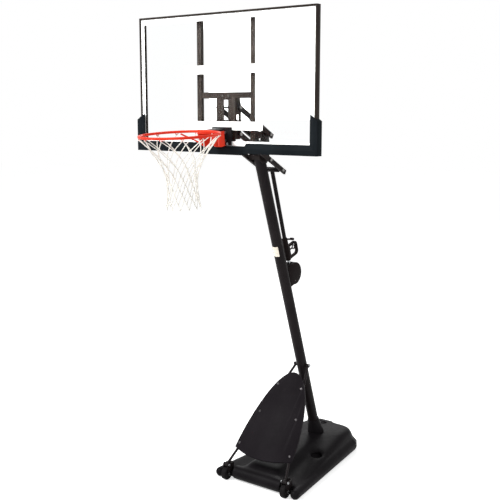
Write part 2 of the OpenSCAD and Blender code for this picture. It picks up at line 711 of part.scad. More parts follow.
module chan2d() union() {
    square([frame_d, frame_wall]);
    square([frame_wall, frame_lip]);
    translate([frame_d - frame_wall, 0]) square([frame_wall, frame_back]);
}
module upright_on_plane(t) translate([0, -board_y, 0]) rotate([90, 0, 0]) linear_extrude(t, center = true) children();
mitre = frame_back + 10;
module flat_member() difference() {
    intersection() {
        translate([0, -board_y, board_z]) slab(-board_half - 1, board_half + 1) chan2d();
        upright_on_plane(400) polygon([[-board_half + fit_gap, board_z], [board_half - fit_gap, board_z],
            [board_half - fit_gap - mitre, board_z + mitre], [-board_half + fit_gap + mitre, board_z + mitre]]);
    }
    for (x = [-upright_x - 4, upright_x + 4, -25, 25]) translate([x, back_y, board_z + frame_back / 2]) {
        ybar(bolt_d + 2 * fit_gap, 20);
    }
}
module side_member() intersection() {
    translate([-board_half, -board_y, board_z]) linear_extrude(board_h) mirror([1, -1, 0]) chan2d();
    upright_on_plane(400) polygon([[-board_half, board_z + fit_gap], [-board_half + mitre, board_z + fit_gap + mitre],
        [-board_half + mitre, board_top - fit_gap - mitre], [-board_half, board_top - fit_gap]]);
}
module frame_bottom() color("#463f39") flat_member();
module frame_top() color("#463f39") translate([0, 0, board_z + board_top]) mirror([0, 0, 1]) flat_member();
module frame_left() color("#463f39") side_member();
module frame_right() color("#463f39") mirror([1, 0, 0]) side_member();

rim_bolt_x = 32;
rim_bolt_z = [18, 66];
module rim_bolt_at() for (x = [-rim_bolt_x, rim_bolt_x], z = rim_bolt_z) translate([x, -board_y, rim_z + z]) children();
panel_y = -board_y + frame_wall + fit_gap;
module acrylic_panel() color([0.85, 0.92, 0.95, 0.4]) difference() {
    translate([-board_half + frame_wall + fit_gap, panel_y, board_z + frame_wall + fit_gap]) {
        cube([2 * (board_half - frame_wall - fit_gap), panel_t, board_h - 2 * (frame_wall + fit_gap)]);
    }
    rim_bolt_at() ybar(bolt_d + 2 * fit_gap, 100);
}

angle_y = back_y + fit_gap;
module upright(s) difference() {
    union() {
        translate([s * upright_x - upright_w / 2, angle_y, board_z + 6]) cube([upright_w, angle_t, board_h - 12]);
        translate([s * (upright_x - upright_w / 2 + angle_t / 2) - angle_t / 2, angle_y, board_z + 6]) {
            cube([angle_t, angle_f, board_h - 12]);
        }
    }
    for (z = [board_z + frame_back / 2, board_top - frame_back / 2]) translate([s * (upright_x + 4), back_y, z]) {
        ybar(bolt_d + 2 * fit_gap, 40);
    }
}
module upright_left() color("#3d3834") upright(-1);
module upright_right() color("#3d3834") upright(1);

cross_half = upright_x - upright_w / 2 - fit_gap;
cross_bolt_z = board_z + cross_z + cross_h / 2 - 3;
module crossbar() color("#3d3834") difference() {
    translate([-cross_half, angle_y, board_z + cross_z]) union() {
        cube([2 * cross_half, angle_t, cross_h]);
        translate([0, 0, cross_h - angle_t]) cube([2 * cross_half, angle_f, angle_t]);
    }
    for (x = [-25, 25]) translate([x, angle_y, cross_bolt_z]) ybar(bolt_d + 2 * fit_gap, 60);
}

web_y = angle_y + angle_t + fit_gap;
web_top = board_z + cross_z + cross_h - angle_t - fit_gap - 3;
module board_bracket() color("#3a3634") difference() {
    union() {
        translate([-plate_x - plate_t, web_y, board_z + 6]) cube([2 * plate_x + 2 * plate_t, plate_t, web_top - board_z - 6]);
        both() slab(plate_x, plate_x + plate_t) polygon([[web_y, board_z + 56], [web_y, web_top],
            [web_y + 40, web_top], [front_y + 26, front_up_z + 18], [front_y + 26, front_low_z - 22],
            [web_y + 45, board_z + 56]]);
    }
    for (z = [front_low_z, front_up_z]) translate([0, front_y, z]) xbar(pin_d + 2 * fit_gap, 200);
    translate([-100, web_y + 14, front_low_z + 45]) cube([200, 24, pivot_gap - 90]);
    translate([-window_half, web_y - 1, board_z + 175]) cube([2 * window_half, plate_t + 2, cross_z - 185]);
    for (x = [-25, 25], z = [board_z + frame_back / 2, cross_bolt_z]) translate([x, web_y, z]) {
        ybar(bolt_d + 2 * fit_gap, 60);
    }
    rim_bolt_at() ybar(bolt_d + 2 * fit_gap, 200);
}

module hex_bolt(y0, y1) {
    translate([0, (y0 + y1) / 2, 0]) ybar(bolt_d, y1 - y0);
    translate([0, y1 + 2.5, 0]) rotate([90, 0, 0]) cylinder(d = bolt_head, h = 5, center = true, $fn = 6);
    translate([0, y0 - 2.5, 0]) rotate([90, 0, 0]) cylinder(d = bolt_head, h = 5, center = true, $fn = 6);
}
module frame_bolts() color("#57534f") {
    for (x = [-upright_x - 4, upright_x + 4], z = [board_z + frame_back / 2, board_top - frame_back / 2]) {
        translate([x, 0, z]) hex_bolt(back_y - frame_wall - fit_gap, angle_y + angle_t + fit_gap);
    }
    for (x = [-25, 25]) {
        translate([x, 0, cross_bolt_z]) hex_bolt(angle_y - fit_gap, web_y + plate_t + fit_gap);
        translate([x, 0, board_z + frame_back / 2]) {
            hex_bolt(back_y - frame_wall - fit_gap, web_y + plate_t + fit_gap);
            translate([0, (back_y + web_y) / 2, 0]) ybar(bolt_d + 6, web_y - back_y - 2 * fit_gap);
        }
    }
}

pad_z = board_z - pad_under;
pad_y = -board_y - pad_front;
pad_in = -board_y - fit_gap;
module corner_pad() difference() {
    union() {
        slab(pad_end - 20, board_half + pad_side) polygon([[pad_y, pad_z], [pad_y, pad_z + pad_flat],
            [pad_in - 3, pad_z + pad_band], [pad_in, pad_z + pad_band], [pad_in, board_z - fit_gap],
            [back_y, board_z - fit_gap], [back_y, pad_z]]);
        translate([board_half + pad_side, 0, pad_z]) linear_extrude(pad_tall) polygon([[0, back_y], [0, pad_y],
            [-pad_flat + 3, pad_y], [-pad_leg, pad_in - 3], [-pad_leg, pad_in], [-pad_side + fit_gap, pad_in],
            [-pad_side + fit_gap, back_y]]);
    }
    upright_on_plane(400) polygon([[board_half + pad_side + 1, pad_z + pad_tall - pad_rise],
        [board_half + pad_side - pad_leg - 1, pad_z + pad_tall + 1], [board_half + pad_side + 1, pad_z + pad_tall + 1]]);
    upright_on_plane(400) polygon([[pad_end - 60, pad_z - 1], [pad_end - 15, pad_z - 1],
        [pad_end + 15, pad_z + pad_band + 1], [pad_end - 60, pad_z + pad_band + 1]]);
}
module corner_pad_right() color("#2a2e30") corner_pad();
module corner_pad_left() color("#2a2e30") mirror([1, 0, 0]) corner_pad();
mid_drop = 10;
module center_pad() color("#2a2e30") intersection() {
    slab(-pad_end, pad_end) polygon([[-board_y - pad_mid_front, pad_z - mid_drop], [-board_y - pad_mid_front, pad_z + 24],
        [pad_in - 3, pad_z + pad_mid], [pad_in, pad_z + pad_mid], [pad_in, board_z - fit_gap], [back_y, board_z - fit_gap],
        [back_y, pad_z - mid_drop]]);
    upright_on_plane(400) polygon([[-pad_end + 20, pad_z - 20], [pad_end - 20, pad_z - 20],
        [pad_end - 17, pad_z], [pad_end + 13, pad_z + pad_band], [-pad_end - 13, pad_z + pad_band],
        [-pad_end + 17, pad_z]]);
}

mount_y = panel_y - fit_gap - mount_t;
lug_x = rim_half + move_gap;
module rim_mount_plate() color("#262325") difference() {
    union() {
        translate([-mount_half, mount_y, rim_z - 12]) cube([2 * mount_half, mount_t, mount_up + 12]);
        both() slab(lug_x, lug_x + 6) union() {
            translate([rim_y, rim_z]) circle(r = 11);
            translate([rim_y, rim_z - 11]) square([mount_y - rim_y + 1, 22]);
        }
    }
    translate([0, rim_y, rim_z]) xbar(rim_pin_d + 2 * fit_gap, 300);
    rim_bolt_at() ybar(bolt_d + 2 * fit_gap, 100);
}
module rim_bolts() color("#8b8d8f") rim_bolt_at() translate([0, board_y, 0]) {
    hex_bolt(mount_y - fit_gap, web_y + plate_t + fit_gap);
    translate([0, (panel_y + panel_t + web_y) / 2, 0]) ybar(bolt_d + 6, web_y - panel_y - panel_t - 2 * fit_gap);
}
module rim_pivot_pin() color("#8b8d8f") translate([0, rim_y, rim_z]) headed_pin(rim_pin_d, lug_x + 6 + fit_gap);

top_z = ring_up - ring_rod / 2 - fit_gap - rim_t;
module rim_bracket() color("#bb3627") on_rim() difference() {
    union() {
        both() slab(rim_half - rim_t, rim_half) union() {
            circle(r = 11);
            polygon([[0, -11], [-40, -18], [-104, -10], [-140, 16], [-150, top_z + 1], [-10, top_z + 1], [-10, 6]]);
        }
        translate([-rim_half, -150, top_z]) cube([2 * rim_half, 140, rim_t]);
        translate([-rim_half + 1, -14, 6]) cube([2 * rim_half - 2, 4, top_z - 5]);
    }
    xbar(rim_pin_d + 2 * run_gap, far);
}
module rim_cover() color("#1d1b1c") on_rim() translate([-rim_half + 2, -120, top_z + rim_t + fit_gap]) difference() {
    cube([2 * rim_half - 4, cover_len, cover_h]);
    translate([3, 3, -1]) cube([2 * rim_half - 10, cover_len - 6, cover_h - 2]);
}
module rim_ring() color("#bb3627") on_rim() translate([0, ring_loc_y, ring_up]) rotate_extrude() {
    translate([ring_mid, 0]) circle(d = ring_rod);
}
brace_x = 150;
module rim_brace() color("#b03024") on_rim() both() {
    rod_between([rim_half + 0.4 * brace_d + fit_gap, -80, -4], [brace_x, ring_loc_y + sqrt(ring_mid * ring_mid - brace_x * brace_x),
        ring_up - ring_rod / 2 - brace_d / 2], brace_d);
}
module net_hooks() color("#bb3627") on_rim() translate([0, ring_loc_y, ring_up - ring_rod / 2 - fit_gap]) {
    for (a = [0 : 30 : 330]) rotate([0, 0, a + 15]) translate([ring_mid, 0, 0]) rotate([-90, 0, 90]) {
        rotate_extrude(angle = 180) translate([hook_r, 0]) circle(d = hook_d);
    }
}

net_rings = 15;
net_sides = 6;
function net_r(t) = net_waist + (net_top - net_waist) * pow(max(0, 1 - t / 0.62), 1.6)
    + 12 * pow(max(0, t - 0.72) / 0.28, 2);
function net_pt(t, a, k) = let (r = net_r(t) + (k > 0 ? net_layer : 0), q = a + k * net_turn * t)
    [r * cos(q), r * sin(q), -net_len * t];
function unit(v) = v / norm(v);
module cord(a, k) {
    pts = [for (i = [0 : net_rings]) let (t = i / net_rings, c = net_pt(t, a, k),
        d = unit(net_pt(t + 0.01, a, k) - net_pt(t - 0.01, a, k)),
        n = unit(cross(d, [-sin(a + k * net_turn * t), cos(a + k * net_turn * t), 0])), m = cross(d, n))
        for (j = [0 : net_sides - 1]) c + cord_d / 2 * (cos(60 * j) * n + sin(60 * j) * m)];
    last = net_rings * net_sides;
    sides = [for (i = [0 : net_rings - 1], j = [0 : net_sides - 1], h = [0, 1])
        let (p = i * net_sides + j, q = i * net_sides + (j + 1) % net_sides)
        h == 0 ? [p, p + net_sides, q + net_sides] : [p, q + net_sides, q]];
    ends = concat([for (j = [1 : net_sides - 2]) [0, j, j + 1]],
        [for (j = [1 : net_sides - 2]) [last, last + j + 1, last + j]]);
    polyhedron(points = pts, faces = concat(sides, ends), convexity = 10);
}
hook_low = ring_up - ring_rod / 2 - fit_gap - hook_r - hook_d / 2;
module net() color("#f5f4f0") on_rim() translate([0, ring_loc_y, hook_low - 0.45 * cord_d]) {
    for (a = [0 : 30 : 330], k = [-1, 1]) cord(a + 15, k);
}

base_tank();
fill_cap();
wheel_left();
wheel_right();
wheel_axles();
wheel_forks();
strut_left();
strut_right();
strut_bolts();
front_shield();
shield_bolts();
pole();
pole_boot();
pole_cap();
pole_top_bracket();
upper_pole_pin();
lower_pole_pin();
lift_bracket();
lift_housing();
lower_arm_left();
lower_arm_right();
lower_end_caps();
lift_pin();
upper_arm_left();
upper_arm_right();
upper_end_caps();
lift_tube();
lift_handle();
handle_knob();
trigger_pin();
lift_trigger();
lift_rod();
rod_pin();
acrylic_panel();
frame_top();
frame_bottom();
frame_left();
frame_right();
upright_left();
upright_right();
crossbar();
board_bracket();
frame_bolts();
upper_board_pin();
lower_board_pin();
corner_pad_left();
corner_pad_right();
center_pad();
rim_mount_plate();
rim_bolts();
rim_pivot_pin();
rim_bracket();
rim_cover();
rim_ring();
rim_brace();
net_hooks();
net();
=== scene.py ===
import bpy
import json
import math
from mathutils import Matrix, Vector


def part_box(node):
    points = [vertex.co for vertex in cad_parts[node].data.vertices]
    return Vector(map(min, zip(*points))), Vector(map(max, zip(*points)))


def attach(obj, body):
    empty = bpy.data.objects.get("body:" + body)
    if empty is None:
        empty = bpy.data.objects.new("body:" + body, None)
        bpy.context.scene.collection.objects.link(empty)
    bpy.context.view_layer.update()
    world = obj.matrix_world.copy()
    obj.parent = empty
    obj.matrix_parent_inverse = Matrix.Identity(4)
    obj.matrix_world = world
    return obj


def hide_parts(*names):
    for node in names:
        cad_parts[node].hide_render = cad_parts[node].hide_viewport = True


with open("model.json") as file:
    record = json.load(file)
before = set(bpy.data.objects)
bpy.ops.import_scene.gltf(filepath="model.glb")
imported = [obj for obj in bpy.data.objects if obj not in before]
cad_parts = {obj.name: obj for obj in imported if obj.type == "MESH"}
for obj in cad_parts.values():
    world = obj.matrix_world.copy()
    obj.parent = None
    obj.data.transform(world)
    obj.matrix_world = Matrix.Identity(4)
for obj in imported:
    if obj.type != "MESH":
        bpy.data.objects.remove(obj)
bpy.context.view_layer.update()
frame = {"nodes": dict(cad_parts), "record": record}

scene = bpy.context.scene
scene.view_settings.view_transform = "Standard"

# The camera stands 2.6 m above the floor, in front of the hoop and to its right, and looks slightly down.
# It is far enough back that the whole hoop fills the square picture.
camera_spot = (3.336, -4.865, 2.6135)
camera_turn, camera_dip = math.radians(36.5), math.radians(9.27)
camera_data = bpy.data.cameras.new("camera")
camera_data.sensor_width, camera_data.lens = 36.0, 61.75
camera_data.clip_start, camera_data.clip_end = 0.05, 200.0
camera = bpy.data.objects.new("camera", camera_data)
scene.collection.objects.link(camera)
camera_back = Vector((math.sin(camera_turn) * math.cos(camera_dip),
                      -math.cos(camera_turn) * math.cos(camera_dip), math.sin(camera_dip)))
camera.location = camera_spot
camera.rotation_mode = "QUATERNION"
camera.rotation_quaternion = (-camera_back).to_track_quat("-Z", "Y")
scene.camera = camera


# The studio is a wide pale floor, an even white surround and three large soft lamps, so that the dark
# paint and plastic keep their own shades. Floor and surround are lifted to white only where the
# camera sees them, straight, in a reflection or through the clear panel.
def link_nodes(tree, *pairs):
    for source, target in pairs:
        tree.links.new(source, target)


def start_material(name):
    material = bpy.data.materials.new(name)
    material.use_nodes = True
    tree = material.node_tree
    tree.nodes.clear()
    output = tree.nodes.new("ShaderNodeOutputMaterial")
    shader = tree.nodes.new("ShaderNodeBsdfPrincipled")
    link_nodes(tree, (shader.outputs[0], output.inputs[0]))
    place = tree.nodes.new("ShaderNodeTexCoord").outputs["Object"]
    return material, tree, shader, place


def noise_on(tree, place, scale, detail=3.0, stretch=None):
    noise = tree.nodes.new("ShaderNodeTexNoise")
    noise.inputs["Scale"].default_value = scale
    noise.inputs["Detail"].default_value = detail
    if stretch:
        mapping = tree.nodes.new("ShaderNodeMapping")
        mapping.inputs["Scale"].default_value = stretch
        link_nodes(tree, (place, mapping.inputs["Vector"]))
        place = mapping.outputs["Vector"]
    link_nodes(tree, (place, noise.inputs["Vector"]))
    return noise.outputs["Fac"]


def ramp_on(tree, value, low_stop, high_stop):
    ramp = tree.nodes.new("ShaderNodeValToRGB")
    low, high = ramp.color_ramp.elements
    low.position, low.color = low_stop
    high.position, high.color = high_stop
    link_nodes(tree, (value, ramp.inputs["Fac"]))
    return ramp.outputs["Color"]


def range_on(tree, value, low, high):
    span = tree.nodes.new("ShaderNodeMapRange")
    span.inputs["To Min"].default_value, span.inputs["To Max"].default_value = low, high
    link_nodes(tree, (value, span.inputs["Value"]))
    return span.outputs["Result"]


def seen_as_white(tree):
    path = tree.nodes.new("ShaderNodeLightPath")
    seen = path.outputs["Is Camera Ray"]
    for ray in ("Is Glossy Ray", "Is Transmission Ray"):
        either = tree.nodes.new("ShaderNodeMath")
        either.operation = "MAXIMUM"
        link_nodes(tree, (seen, either.inputs[0]), (path.outputs[ray], either.inputs[1]))
        seen = either.outputs[0]
    return seen


floor_width, floor_drop, floor_lift, surround_level = 60.0, 0.0005, 0.62, 0.40
white, floor_dark, floor_light = (1.0, 1.0, 1.0, 1.0), (0.93, 0.93, 0.93, 1.0), (0.96, 0.96, 0.96, 1.0)
bpy.ops.object.select_all(action="DESELECT")
bpy.ops.mesh.primitive_plane_add(size=floor_width, location=(0.0, 0.0, -floor_drop))
floor = bpy.context.object
floor.name = "floor"
floor_material, tree, shader, place = start_material("pale_floor")
shader.inputs["Roughness"].default_value = 0.9
shader.inputs["Specular IOR Level"].default_value = 0.0
shader.inputs["Emission Color"].default_value = white
floor_shade = ramp_on(tree, noise_on(tree, place, 0.7), (0.3, floor_dark), (0.7, floor_light))
link_nodes(tree, (floor_shade, shader.inputs["Base Color"]),
           (range_on(tree, seen_as_white(tree), 0.0, floor_lift), shader.inputs["Emission Strength"]))
floor.data.materials.append(floor_material)

world = bpy.data.worlds.new("studio")
scene.world = world
world.use_nodes = True
tree = world.node_tree
tree.nodes.clear()
world_output = tree.nodes.new("ShaderNodeOutputWorld")
surround = tree.nodes.new("ShaderNodeBackground")
surround.inputs["Color"].default_value = white
surround.inputs["Strength"].default_value = surround_level
backdrop = tree.nodes.new("ShaderNodeBackground")
backdrop.inputs["Color"].default_value = white
choose = tree.nodes.new("ShaderNodeMixShader")
link_nodes(tree, (seen_as_white(tree), choose.inputs[0]), (surround.outputs[0], choose.inputs[1]),
           (backdrop.outputs[0], choose.inputs[2]), (choose.outputs[0], world_output.inputs[0]))

for lamp_name, spot, target, size, power in (
        ("key_lamp", (-3.0, -4.6, 6.2), (0.0, -0.4, 1.5), 3.2, 600.0),
        ("fill_lamp", (5.2, -2.4, 4.2), (0.0, 0.0, 1.5), 3.6, 110.0),
        ("back_lamp", (-3.2, 5.4, 3.8), (0.0, 0.2, 0.6), 3.0, 80.0)):
    lamp_data = bpy.data.lights.new(lamp_name, "AREA")
    lamp_data.size = size
    lamp_data.energy = power
    lamp = bpy.data.objects.new(lamp_name, lamp_data)
    scene.collection.objects.link(lamp)
    lamp.location = spot
    lamp.rotation_euler = (Vector(target) - Vector(spot)).to_track_quat("-Z", "Y").to_euler()


# The base is a blow-moulded tank of black polyethylene that lies flat on the ground and is filled with
# water or sand. Its rails and edges are as round as the mould leaves them, and its skin has a fine grain.
def shade_from_hex(text):
    parts = [int(text[k:k + 2], 16) / 255 for k in (1, 3, 5)]
    return [c / 12.92 if c <= 0.04045 else ((c + 0.055) / 1.055) ** 2.4 for c in parts] + [1.0]


def tint(tree, shader, value, low, high):
    stops = [(spot, shade_from_hex(text)) for spot, text in (low, high)]
    link_nodes(tree, (ramp_on(tree, value, *stops), shader.inputs["Base Color"]))


def roughen(tree, shader, value, low, high):
    link_nodes(tree, (range_on(tree, value, low, high), shader.inputs["Roughness"]))


def bump_on(tree, shader, value, strength, depth):
    bump = tree.nodes.new("ShaderNodeBump")
    bump.inputs["Strength"].default_value = strength
    bump.inputs["Distance"].default_value = depth
    link_nodes(tree, (value, bump.inputs["Height"]), (bump.outputs["Normal"], shader.inputs["Normal"]))


def moulded_plastic(name, colour, dusty, rough, grain, depth, gloss=0.032):
    material, tree, shader, place = start_material(name)
    shader.inputs["Specular IOR Level"].default_value = gloss
    tint(tree, shader, noise_on(tree, place, 5.0, 4.0), (0.35, colour), (0.75, dusty))
    roughen(tree, shader, noise_on(tree, place, 38.0, 5.0), rough - 0.07, rough + 0.1)
    bump_on(tree, shader, noise_on(tree, place, grain, 2.0), 0.35, depth)
    return material


def pick_only(piece):
    bpy.ops.object.select_all(action="DESELECT")
    piece.select_set(True)
    bpy.context.view_layer.objects.active = piece


merge_gap = 0.00002


def merged_copy(node, name):
    piece = bpy.data.objects.new(name, frame["nodes"][node].data.copy())
    scene.collection.objects.link(piece)
    piece.data.materials.clear()
    pick_only(piece)
    if piece.data.has_custom_normals:
        bpy.ops.mesh.customdata_custom_splitnormals_clear()
    bpy.ops.object.mode_set(mode="EDIT")
    bpy.ops.mesh.select_all(action="SELECT")
    bpy.ops.mesh.remove_doubles(threshold=merge_gap)
    bpy.ops.object.mode_set(mode="OBJECT")
    return piece


def use_modifier(piece, kind, **settings):
    pick_only(piece)
    modifier = piece.modifiers.new("shape", kind)
    for key, value in settings.items():
        setattr(modifier, key, value)
    bpy.ops.object.modifier_apply(modifier=modifier.name)


def remeshed(node, name, voxel, passes):
    piece = merged_copy(node, name)
    use_modifier(piece, "REMESH", mode="VOXEL", voxel_size=voxel)
    use_modifier(piece, "SMOOTH", factor=0.5, iterations=passes)
    return piece


def carrier_of(node):
    bodies = frame["record"]["behaviour"]["bodies"]
    return next(body for body, nodes in bodies.items() if node in nodes)


def stand_for(piece, node, material):
    piece.data.materials.clear()
    piece.data.materials.append(material)
    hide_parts(node)
    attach(piece, carrier_of(node))


def near_box(spot, low, high, spare):
    return all(low[axis] - spare < spot[axis] < high[axis] + spare for axis in (0, 1))


tank_voxel, tank_passes, deck_passes = 0.006, 16, 200
deck_low, deck_slope = 0.045, 0.2
wheel_y, wheel_x = -0.20, 0.20
rail_x, rail_taper = 0.284, 0.10
cap_room, boot_room = 0.025, 0.004
tank_plastic = moulded_plastic("tank_plastic", "#110f11", "#1a181a", rough=0.40, grain=700.0,
                               depth=0.0006, gloss=0.03)
tank_shell = remeshed("base_tank", "tank_shell", tank_voxel, tank_passes)
cap_low, cap_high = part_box("fill_cap")
boot_low, boot_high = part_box("pole_boot")
deck_points = []
for vertex in tank_shell.data.vertices:
    spot = vertex.co
    on_top = vertex.normal.z > deck_slope and spot.z > deck_low
    beside_wheel = spot.y < wheel_y and abs(spot.x) > wheel_x
    on_rail = abs(spot.x) > rail_x - rail_taper * spot.y
    by_cap = near_box(spot, cap_low, cap_high, cap_room)
    by_boot = near_box(spot, boot_low, boot_high, boot_room)
    if on_top and not (beside_wheel or on_rail or by_cap or by_boot):
        deck_points.append(vertex.index)
tank_shell.vertex_groups.new(name="deck").add(deck_points, 1.0, "REPLACE")
use_modifier(tank_shell, "SMOOTH", factor=0.5, iterations=deck_passes, vertex_group="deck")
pick_only(tank_shell)
bpy.ops.object.shade_smooth()
stand_for(tank_shell, "base_tank", tank_plastic)

# The fill cap is a screw cap with a thumb bar, moulded in hard black plastic. It closes the neck through
# which the tank is filled.
facet_angle, crease_angle = math.radians(0.6), math.radians(40.0)


def softened(node, name, material, width, steps=2, bend=38.0):
    piece = merged_copy(node, name)
    bpy.ops.object.mode_set(mode="EDIT")
    bpy.ops.mesh.dissolve_limited(angle_limit=facet_angle)
    bpy.ops.object.mode_set(mode="OBJECT")
    use_modifier(piece, "BEVEL", limit_method="ANGLE", angle_limit=math.radians(bend), width=width,
                 segments=steps, use_clamp_overlap=True)
    pick_only(piece)
    bpy.ops.object.shade_smooth_by_angle(angle=crease_angle)
    stand_for(piece, node, material)
    return piece


cap_plastic = moulded_plastic("cap_plastic", "#151315", "#1e1c1e", rough=0.45, grain=900.0, depth=0.0004)
softened("fill_cap", "screw_cap", cap_plastic, width=0.002)

# Two hard plastic wheels carry the base when it is tipped forward. They turn on zinc-plated bolts in
# pressed steel forks, which also take the lower ends of the struts.
wheel_plastic = moulded_plastic("wheel_plastic", "#131112", "#1d1b1c", rough=0.55, grain=500.0,
                                depth=0.0005)
softened("wheel_left", "left_wheel", wheel_plastic, width=0.003, steps=3)
softened("wheel_right", "right_wheel", wheel_plastic, width=0.003, steps=3)


def bright_steel(name, dark, light, rough, lay=(1.0, 1.0, 1.0)):
    material, tree, shader, place = start_material(name)
    shader.inputs["Metallic"].default_value = 1.0
    tint(tree, shader, noise_on(tree, place, 60.0, 4.0), (0.3, dark), (0.7, light))
    roughen(tree, shader, noise_on(tree, place, 240.0, 3.0, lay), rough - 0.1, rough + 0.12)
    bump_on(tree, shader, noise_on(tree, place, 900.0, 2.0, lay), 0.15, 0.0002)
    return material


def finish_nodes(material, *names):
    for name in names:
        node = frame["nodes"][name]
        if not node.material_slots:
            node.data.materials.append(material)
        for slot in node.material_slots:
            slot.material = material


zinc_plate = bright_steel("zinc_plate", "#7f8183", "#a3a5a6", rough=0.35)
finish_nodes(zinc_plate, "wheel_axles", "strut_bolts")


# The pole, its struts and the forks are steel tube and sheet with a satin black powder coat, which leaves
# a slight orange-peel surface. The pole leans forward over the base to reach under the board.
def coated_steel(name, colour, lighter, rough, peel, gloss=0.045):
    material, tree, shader, place = start_material(name)
    shader.inputs["Specular IOR Level"].default_value = gloss
    tint(tree, shader, noise_on(tree, place, 7.0, 4.0), (0.3, colour), (0.72, lighter))
    roughen(tree, shader, noise_on(tree, place, 55.0, 5.0), rough - 0.06, rough + 0.08)
    bump_on(tree, shader, noise_on(tree, place, peel, 2.0), 0.25, 0.0004)
    return material


pole_coat = coated_steel("pole_coat", "#171314", "#1f1b1c", rough=0.36, peel=420.0, gloss=0.055)
finish_nodes(pole_coat, "pole", "strut_left", "strut_right", "lift_tube")
softened("wheel_forks", "pressed_forks", pole_coat, width=0.0012)
finish_nodes(cap_plastic, "pole_boot", "pole_cap")

# A blank paper label is stuck on the front of the pole at chest height. It is wrapped part of the way
# round the tube, and follows the pole's lean.
label_radius, label_tall, label_thick, label_facets = 0.0383, 0.074, 0.00025, 96
label_up, label_reach = 1.640, math.radians(36.0)
pole_foot, pole_lean = Vector((0.0, 0.516, 0.110)), math.radians(19.3)
bpy.ops.object.select_all(action="DESELECT")
bpy.ops.mesh.primitive_cylinder_add(vertices=label_facets, radius=label_radius, depth=label_tall,
                                    end_fill_type="NOTHING")
pole_label = bpy.context.object
pole_label.name = "pole_label"
bpy.ops.object.mode_set(mode="EDIT")
bpy.ops.mesh.select_all(action="DESELECT")
bpy.ops.object.mode_set(mode="OBJECT")
for face in pole_label.data.polygons:
    face.select = math.atan2(abs(face.center.x), -face.center.y) > label_reach
bpy.ops.object.mode_set(mode="EDIT")
bpy.ops.mesh.delete(type="FACE")
bpy.ops.object.mode_set(mode="OBJECT")
pole_label.data.transform(Matrix.Translation(pole_foot) @ Matrix.Rotation(pole_lean, 4, "X")
                          @ Matrix.Translation((0.0, 0.0, label_up)))
use_modifier(pole_label, "SOLIDIFY", thickness=label_thick, offset=-1.0)
bpy.ops.object.shade_smooth_by_angle(angle=crease_angle)
label_paper, tree, shader, place = start_material("label_paper")
tint(tree, shader, noise_on(tree, place, 90.0, 5.0), (0.3, "#e6ddcc"), (0.7, "#f1e9da"))
roughen(tree, shader, noise_on(tree, place, 400.0), 0.4, 0.55)
bump_on(tree, shader, noise_on(tree, place, 1200.0, 3.0), 0.2, 0.0001)
pole_label.data.materials.append(label_paper)
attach(pole_label, "base")

# The shield is one curved sheet of moulded plastic with a folded-back edge. Dome-headed bolts hold it
# to the two struts, which it hides from the front.
shield_plastic = moulded_plastic("shield_plastic", "#151215", "#1c191c", rough=0.5, grain=800.0,
                                 depth=0.0005)
softened("front_shield", "shield_sheet", shield_plastic, width=0.0012)
shield_bolt_steel = bright_steel("shield_bolt_steel", "#343233", "#5c5a5b", rough=0.4)
finish_nodes(shield_bolt_steel, "shield_bolts")
strut_rise, strut_run = 0.643, 0.5861
shield_origin, shield_tilt = Vector((0.0, -0.296, 0.112)), math.atan2(strut_rise, strut_run)
shield_half, shield_start, shield_run, shield_sag = 0.243, 0.140, 0.640, 0.052
shield_curve, shield_stand, shield_power = 0.900, 0.043, 1.6
edge_in, edge_thick, edge_round, edge_angle = 0.0006, 0.004, 0.001, math.radians(50.0)
fold_least, fold_more, fold_reach = 0.005, 0.015, 0.11
side_steps, low_steps = 40, 24
rim_line = []
for step in range(side_steps + 1):
    along = 1.0 - (1.0 - step / side_steps) ** 2
    across = shield_half * math.sqrt(max(0.0, 1.0 - along ** shield_power))
    rim_line.append((across, shield_start + shield_run * along))
rim_line = rim_line + [(-across, along) for across, along in reversed(rim_line[:-1])]
for step in range(1, low_steps):
    across = 2.0 * step / low_steps - 1.0
    rim_line.append((across * shield_half, shield_start - shield_sag * (1.0 - across * across)))
shield_turn = Matrix.Translation(shield_origin) @ Matrix.Rotation(shield_tilt, 4, "X")
bpy.ops.object.select_all(action="DESELECT")
bpy.ops.mesh.primitive_circle_add(vertices=len(rim_line), radius=shield_half)
shield_edge = bpy.context.object
shield_edge.name = "shield_edge"
bpy.ops.object.mode_set(mode="EDIT")
bpy.ops.mesh.select_all(action="SELECT")
bpy.ops.mesh.extrude_region_move(TRANSFORM_OT_translate={"value": (0.0, 0.0, -fold_least)})
bpy.ops.object.mode_set(mode="OBJECT")
for index, vertex in enumerate(shield_edge.data.vertices):
    across, along = rim_line[index % len(rim_line)]
    corner = math.hypot(abs(across) - shield_half, along - shield_start)
    fold = fold_least + fold_more * min(1.0, corner / fold_reach)
    front = shield_stand - shield_curve + math.sqrt(shield_curve ** 2 - across ** 2)
    behind = edge_in if index < len(rim_line) else fold
    vertex.co = shield_turn @ Vector((across, along, front - behind))
bpy.ops.object.mode_set(mode="EDIT")
bpy.ops.mesh.select_all(action="SELECT")
bpy.ops.mesh.normals_make_consistent(inside=False)
bpy.ops.object.mode_set(mode="OBJECT")
use_modifier(shield_edge, "SOLIDIFY", thickness=edge_thick, offset=-1.0)
use_modifier(shield_edge, "BEVEL", limit_method="ANGLE", angle_limit=edge_angle, width=edge_round, segments=2)
bpy.ops.object.shade_smooth_by_angle(angle=crease_angle)
shield_edge.data.materials.append(shield_plastic)
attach(shield_edge, "base")

